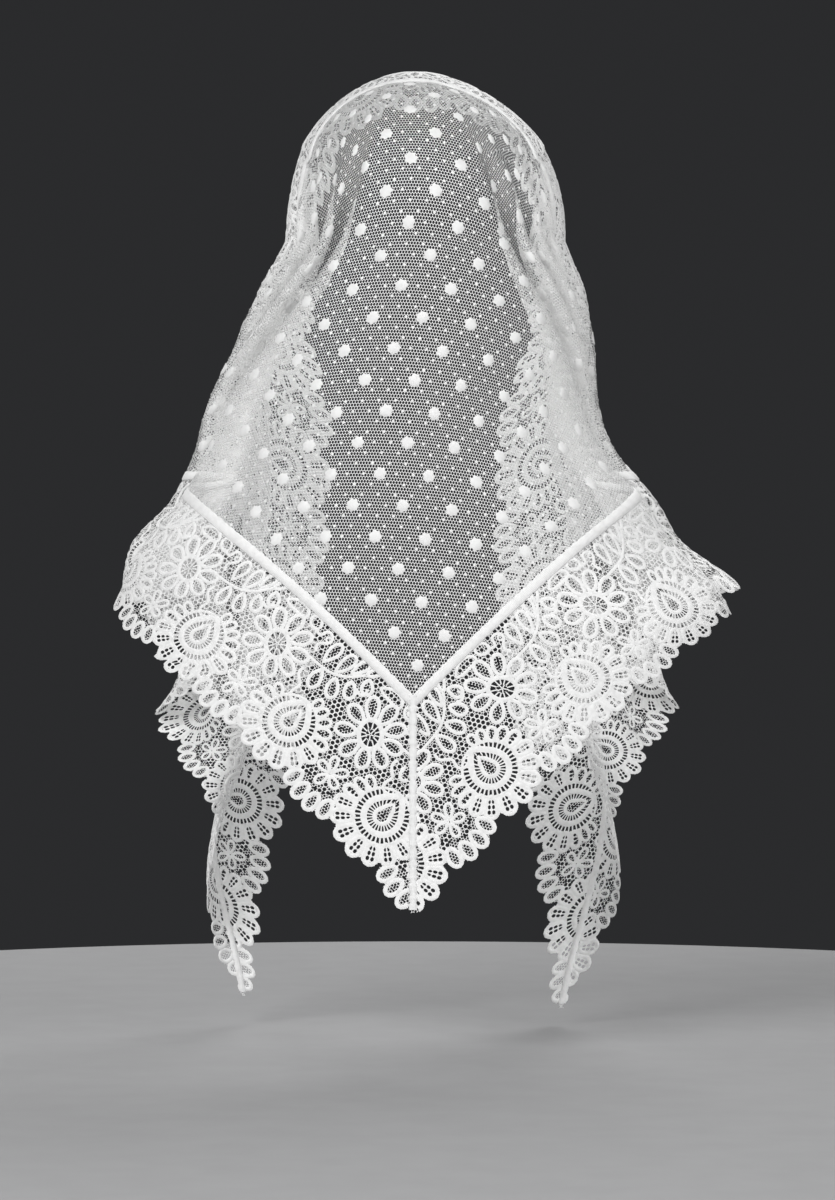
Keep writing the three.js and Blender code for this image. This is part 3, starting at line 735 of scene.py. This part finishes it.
def net_sheet():
    flat = net_points(NET_RINGS, NET_RAYS)
    rows, columns = flat.shape[:2]
    flat = flat.reshape(-1, 2)
    sheet = mesh_object("net", draped(flat[:, 0], flat[:, 1]), grid_faces(rows, columns), NET,
                        flat / UV_UNIT)
    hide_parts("net_panel")
    return sheet


def pads(name, places, half, sides, rings, height, uneven=0.0, lobes=0.0):
    """Low rounded pads on both faces of the net, one at each flat place, with lobes at every other side."""
    rng = np.random.default_rng(4)
    turns = np.linspace(0, 2 * PI, sides, endpoint=False)
    us, vs, hs, faces = [], [], [], []
    first = 0
    for u, v in places:
        edge = half * (1 + rng.normal(0, uneven, sides) + lobes * (-1.0) ** np.arange(sides))
        for sign in (1, -1):
            us.append([u]), vs.append([v]), hs.append([sign * height])
            for share, up in rings:
                us.append(u + edge * share * np.cos(turns))
                vs.append(v + edge * share * np.sin(turns))
                hs.append(np.full(sides, sign * height * up))
            for k in range(sides):
                m = (k + 1) % sides
                new = [(first, first + 1 + k, first + 1 + m)]
                for r in range(len(rings) - 1):
                    a, b = first + 1 + r * sides, first + 1 + (r + 1) * sides
                    new += [(a + k, b + k, b + m), (a + k, b + m, a + m)]
                faces += new if sign > 0 else [f[::-1] for f in new]
            first += 1 + sides * len(rings)
    u, v = np.concatenate(us), np.concatenate(vs)
    uv = np.stack([u, v], 1) / UV_UNIT
    return mesh_object(name, lifted(u, v, np.concatenate(hs)), faces, DOT, uv)


def dot_places(across, down):
    """The places of a staggered grid of dots that lie on the net."""
    out = []
    c, s = math.cos(NET_TURN), math.sin(NET_TURN)
    for row in DOT_ROWS:
        for column in DOT_COLUMNS:
            x, y = (column + 0.5 * (row % 2)) * across, row * down / 2
            x, y = x - DOT_SHIFT[0], y - DOT_SHIFT[1]
            u, v = x * c - y * s, x * s + y * c
            if v > LIMIT + DOT_MARGIN and abs(u) + v < DEPTH - LIMIT * math.sqrt(2) - DOT_MARGIN:
                out.append((u, v))
    return out


net = net_sheet()
big = dot_places(DOT_ACROSS, DOT_DOWN)
small = dot_places(DOT_ACROSS / 3, DOT_DOWN / 3)
apart = np.array(small)[:, None] - np.array(big)[None]
small = [p for p, near in zip(small, np.hypot(apart[..., 0], apart[..., 1]).min(1)) if near > DOT_HALF]
net_dots = pads("net_dots", big, DOT_HALF, 14, ((0.86, 1.0), (1.0, 0.1)), height=0.45, uneven=0.04,
                lobes=0.12)
net_pins = pads("net_pins", small, PIN_HALF, 6, ((1.0, 0.2),), height=0.3)


# The border: three strips, each in its own t along its outer line and n out from its seam
class Strip:
    def __init__(self, start, end, first, ends):
        self.start, self.end = np.array(start, float), np.array(end, float)
        self.length = np.hypot(*(self.end - self.start))
        self.along = (self.end - self.start) / self.length
        self.out = np.array([-self.along[1], self.along[0]])
        self.first = first % REPEAT
        self.half = [math.radians(a) for a in ends]

    def flat(self, t, n):
        t, n = np.asarray(t, float), np.asarray(n, float)
        return self.start + t[..., None] * self.along - (LACE_WIDTH - n)[..., None] * self.out

    def ends(self, n):
        """Where the strip starts and ends at a place across it, along its mitres."""
        margin = LACE_WIDTH - n
        return margin / math.tan(self.half[0]), self.length - margin / math.tan(self.half[1])

    def copies(self):
        """Where each copy of the repeat starts along the strip."""
        return [self.first + k * REPEAT for k in range(-2, int(self.length / REPEAT) + 2)]

    def holds(self, t, n, spare):
        low, high = self.ends(n)
        return (t > low + spare) & (t < high - spare)


LEFT_TIP, RIGHT_TIP, BACK = (-HALF_EDGE, 0), (HALF_EDGE, 0), (0, DEPTH)
FLOWER_FROM_CORNER = {"left": 6.0, "right": 51.0}
LEG = math.hypot(HALF_EDGE, DEPTH)
STRIPS = {
    "left": Strip(LEFT_TIP, BACK, LEG - LACE_WIDTH - FLOWER_FROM_CORNER["left"], (22.5, 45)),
    "right": Strip(BACK, RIGHT_TIP, LACE_WIDTH + FLOWER_FROM_CORNER["right"], (45, 22.5)),
    "front": Strip(RIGHT_TIP, LEFT_TIP, HALF_EDGE, (22.5, 22.5)),
}
# Half a mitre seam, how far the sharp tips are cut back, and where the lace starts under its band
SEAM_HALF, TIP_CUT, LOWEST = 2.3, 6.0, -1.0
# The spacing of points along the seam, along the free edge and inside the lace
SEAM_STEP, EDGE_STEP, MESH_STEP = 4.0, 1.3, 4.2
# The least width left between a mitre and a hole or the free edge, and where the cords start
SPARE, CORD_START = 0.6, 0.2


def outline(strip):
    """The strip's edge: its seam line, its mitres and the scallops of its free edge."""
    tip = LACE_WIDTH - TIP_CUT
    mitre_n = np.linspace(LOWEST, tip, 40)
    (seam_low, seam_high), (tip_low, tip_high) = strip.ends(LOWEST), strip.ends(tip)
    seam_t = np.linspace(seam_low, seam_high, round((seam_high - seam_low) / SEAM_STEP) + 1)[1:-1]
    edge_t = np.linspace(tip_high, tip_low, round((tip_high - tip_low) / EDGE_STEP) + 1)
    edge_n = free_edge(((edge_t - strip.first) / SCALE + SHEET / 2) % SHEET - SHEET / 2) * SCALE
    rise = np.minimum(edge_t * math.tan(strip.half[0]), (strip.length - edge_t) * math.tan(strip.half[1]))
    edge_n = np.maximum(edge_n, LACE_WIDTH - rise + SPARE)
    low, high = strip.ends(mitre_n)
    return np.vstack([
        np.stack([low, mitre_n], 1)[::-1],
        np.stack([seam_t, np.full(len(seam_t), LOWEST)], 1),
        np.stack([high, mitre_n], 1),
        np.stack([edge_t, edge_n], 1),
    ])


def pierced(name, strip, node):
    """A strip of lace ground with its holes cut through, and close work where it is solid."""
    edge = outline(strip)
    points = [edge]
    faces = [list(range(len(edge)))]
    kinds = [0]
    first = len(edge)
    for start in strip.copies():
        for kind, shapes in ((1, holes), (2, close)):
            for shape in shapes:
                shape = ordered(shape * SCALE + (start, 0))
                if kind == 1 and not strip.holds(shape[:, 0], shape[:, 1], SEAM_HALF + SPARE).all():
                    continue
                if kind == 2 and not strip.holds(shape[:, 0], shape[:, 1], 0).any():
                    continue
                points.append(shape)
                faces.append(list(range(first, first + len(shape))))
                kinds.append(kind)
                first += len(shape)
    grid_t, grid_n = np.meshgrid(np.arange(0, strip.length, MESH_STEP),
                                 np.arange(LOWEST + 3, LACE_WIDTH - 12, MESH_STEP))
    inside = strip.holds(grid_t, grid_n, 2.0)
    points.append(np.stack([grid_t[inside], grid_n[inside]], 1))
    flat_in = [Vector(p) for p in np.vstack(points).tolist()]
    verts, _, tris, _, _, origins = delaunay_2d_cdt(flat_in, [], faces, 0, 1e-4)
    kinds = np.array(kinds)
    kept, slots = [], []
    for tri, origin in zip(tris, origins):
        found = kinds[origin] if origin else ()
        if 0 in found and 1 not in found:
            kept.append(tri)
            slots.append(1 if 2 in found else 0)
    verts = np.array([tuple(v) for v in verts])
    kept = np.array(kept)
    used = np.unique(kept)
    renumber = np.full(len(verts), -1)
    renumber[used] = np.arange(len(used))
    flat = strip.flat(verts[used, 0], verts[used, 1])
    points = draped(flat[:, 0], flat[:, 1])
    sheet = mesh_object(name, points, renumber[kept], GROUND, verts[used] / UV_UNIT)
    sheet.data.materials.append(CORD)
    sheet.data.polygons.foreach_set("material_index", np.array(slots, np.int32))
    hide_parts(node)
    return sheet


# How much wider than drawn a cord is, its height as a share of its drawn width, and the most
CORD_WIDER, CORD_HEIGHT, CORD_HEIGHT_MOST = 1.15, 0.16, 0.42
CORD_CREASE = math.radians(50)
# across, up
CORD_PROFILE = ((-1, 0.0), (-0.76, 1.0), (0.76, 1.0), (1, 0.0), (0, -0.9))


def cords(name, strip):
    """Every stroke of the drawing as a low cord that stands up on both faces of the lace."""
    us, vs, hs, along, faces = [], [], [], [], []
    first = 0
    tip_low, tip_high = strip.ends(LACE_WIDTH - TIP_CUT)
    for start in strip.copies():
        for points, width, closed in strokes:
            points = points * SCALE + (start, 0)
            t, n = points.T
            keep = strip.holds(t, n, SEAM_HALF) & (n > CORD_START) & (t > tip_low) & (t < tip_high)
            count = len(points)
            spans = [(i, (i + 1) % count) for i in range(count if closed else count - 1)]
            spans = [(i, j) for i, j in spans if keep[i] and keep[j]]
            if not spans:
                continue
            if closed:
                before, after = np.roll(points, 1, 0), np.roll(points, -1, 0)
            else:
                before, after = np.vstack([points[:1], points[:-1]]), np.vstack([points[1:], points[-1:]])
            way = after - before
            way /= np.hypot(*way.T)[:, None] + 1e-9
            side = np.stack([-way[:, 1], way[:, 0]], 1) * width * SCALE * CORD_WIDER / 2
            gone = np.concatenate([[0], np.cumsum(np.hypot(*np.diff(points, axis=0).T))])
            rise = min(width * CORD_HEIGHT, CORD_HEIGHT_MOST)
            for offset, height in CORD_PROFILE:
                flat = strip.flat(t + side[:, 0] * offset, n + side[:, 1] * offset)
                us.append(flat[:, 0])
                vs.append(flat[:, 1])
                hs.append(np.full(count, height * rise))
                along.append(np.stack([gone, np.full(count, offset * width / 2)], 1))
            for i, j in spans:
                for k in range(len(CORD_PROFILE)):
                    a, b = first + k * count, first + (k + 1) % len(CORD_PROFILE) * count
                    faces.append((a + i, a + j, b + j, b + i))
            first += len(CORD_PROFILE) * count
    faces = np.array(faces)
    used = np.unique(faces)
    renumber = np.full(first, -1)
    renumber[used] = np.arange(len(used))
    u, v, h, uv = [np.concatenate(x)[used] for x in (us, vs, hs, along)]
    made = mesh_object(name, lifted(u, v, h), renumber[faces], CORD, uv / UV_UNIT)
    made.data.set_sharp_from_angle(angle=CORD_CREASE)
    return made


laces, cord_pieces = {}, {}
for key, node in (("left", "back_lace_left"), ("right", "back_lace_right"), ("front", "front_lace")):
    laces[key] = pierced("lace_" + key, STRIPS[key], node)
    cord_pieces[key] = cords("cords_" + key, STRIPS[key])


# The seam bands and the mitre seams
# across, up
BAND_PROFILE = ((-0.5, 0.0), (-0.42, 0.85), (0.0, 1.0), (0.42, 0.85), (0.5, 0.0),
                (0.42, -0.85), (0.0, -1.0), (-0.42, -0.85), (-0.5, 0.0))
# How often the edges waver, in radians a millimetre
WAVERS = (0.83, 1.37)


def band(name, start, end, width, height, node, count=260, uneven=0.06):
    """A narrow raised band along a line of the flat cut, on both faces, with uneven edges."""
    start, end = np.array(start, float), np.array(end, float)
    length = np.hypot(*(end - start))
    along = (end - start) / length
    across = np.array([-along[1], along[0]])
    gone = np.linspace(0, length, count + 1)
    points, uvs = [], []
    waver = 1 + uneven * (np.sin(gone * WAVERS[0]) + np.sin(gone * WAVERS[1] + 1))
    for side, up in BAND_PROFILE:
        flat = start + np.outer(gone, along) + np.outer(waver * side * width, across)
        points.append(lifted(flat[:, 0], flat[:, 1], up * height))
        uvs.append(np.stack([gone, np.full(count + 1, side * width)], 1))
    made = mesh_object(name, np.vstack(points), grid_faces(len(BAND_PROFILE), count + 1), BAND,
                       np.vstack(uvs) / UV_UNIT)
    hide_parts(node)
    return made


def corner(margin, which):
    """The corner of a line that runs inside the cut's edges at a margin."""
    if which == "back":
        return np.array([0, DEPTH - margin * math.sqrt(2)])
    side = -1 if which == "left" else 1
    return np.array([side * (HALF_EDGE - margin / math.tan(PI / 8)), margin])


# The bands lap over the lace
BAND_LAP, BAND_HEIGHT = 2.4, 0.8
SEAM_MARGIN = LACE_WIDTH + (BAND_WIDTH - BAND_LAP) / 2
for key, start, end in (("left", "left", "back"), ("right", "back", "right"), ("front", "right", "left")):
    start, end = corner(SEAM_MARGIN, start), corner(SEAM_MARGIN, end)
    band("band_" + key, start, end, BAND_WIDTH + BAND_LAP, BAND_HEIGHT,
                      "seam_band_" + key)
MITRE_WIDTH, MITRE_HEIGHT, MITRE_END = 5.4, 0.9, 7.0
for key in ("back", "left", "right"):
    start, end = corner(LIMIT, key), corner(MITRE_END, key)
    band("mitre_" + key, start, end, MITRE_WIDTH, MITRE_HEIGHT, "mitre_seam_" + key,
                       count=120, uneven=0.14)

# The lace's mean width from its seam to its free edge
mean_width = free_edge(np.linspace(0, SHEET, 400)).mean() * SCALE

# The stage: a round grey floor, and the world's plain grey behind it
low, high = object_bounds()
FLOOR_GAP, FLOOR_HALF, FLOOR_SIDES = 0.012, 0.8, 96


def floor():
    cloth = Cloth("StageFloor", (0.36, 0.36, 0.365), 0.9, 0.0)
    cloth.mottle(cloth.noise(cloth.place(), 30.0), 0.3, 0.7, 0.96)
    turns = np.linspace(0, 2 * PI, FLOOR_SIDES, endpoint=False)
    ring = np.stack([np.cos(turns), np.sin(turns)], 1) * FLOOR_HALF
    points = [(0, 0, 0)] + [(x, y, 0) for x, y in ring]
    points = (np.array(points) + (0, 0, low.z - FLOOR_GAP)) / MM
    faces = [(0, 1 + k, 1 + (k + 1) % FLOOR_SIDES) for k in range(FLOOR_SIDES)]
    stage = mesh_object("stage_floor", points, faces, cloth.material)
    stage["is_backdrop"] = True


def lamp(name, place, size, watts):
    data = bpy.data.lights.new(name, "AREA")
    data.shape, data.size, data.energy = "DISK", size, watts
    obj = bpy.data.objects.new(name, data)
    bpy.context.scene.collection.objects.link(obj)
    obj.location = place
    obj.rotation_mode = "QUATERNION"
    obj.rotation_quaternion = (Vector(AIM) - Vector(place)).to_track_quat("-Z", "Y")


AIM = (0.0, 0.0, -0.35)
floor()
lamp("Key", (-1.5, -2.4, 1.2), 1.8, 86)
lamp("Fill", (1.9, -1.8, 0.3), 2.2, 40)
lamp("Rim", (0.8, 1.9, 1.4), 1.6, 35)
lamp("Far", (-1.4, 2.0, 0.2), 1.8, 20)
world = bpy.data.worlds.new("Soft")
bpy.context.scene.world = world
world.use_nodes = True
world.node_tree.nodes["Background"].inputs[0].default_value = (0.024, 0.0245, 0.026, 1)
world.node_tree.nodes["Background"].inputs[1].default_value = 1.0

# The camera of the photograph: level, from behind, with a long lens. The photograph's 1200 pixels
# of height take in FRAME_HEIGHT at the depth of the shoulders
DISTANCE, FRAME_HEIGHT, SHOULDER_DEPTH = 2.75, 0.840, 0.035
CAMERA_ACROSS, CAMERA_HEIGHT = 0.0031, -0.367
camera = bpy.data.cameras.new("Camera")
camera_object = bpy.data.objects.new("Camera", camera)
bpy.context.scene.collection.objects.link(camera_object)
bpy.context.scene.camera = camera_object
camera.sensor_width = 36
camera.lens = camera.sensor_width * MM * (DISTANCE - SHOULDER_DEPTH) / FRAME_HEIGHT / MM
camera_object.location = (CAMERA_ACROSS, -DISTANCE, CAMERA_HEIGHT)
camera_object.rotation_euler = (PI / 2, 0, 0)
camera.clip_end = 50
bpy.context.scene.cycles.transparent_max_bounces = 32
bpy.context.scene.view_settings.view_transform = "Standard"

low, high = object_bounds()
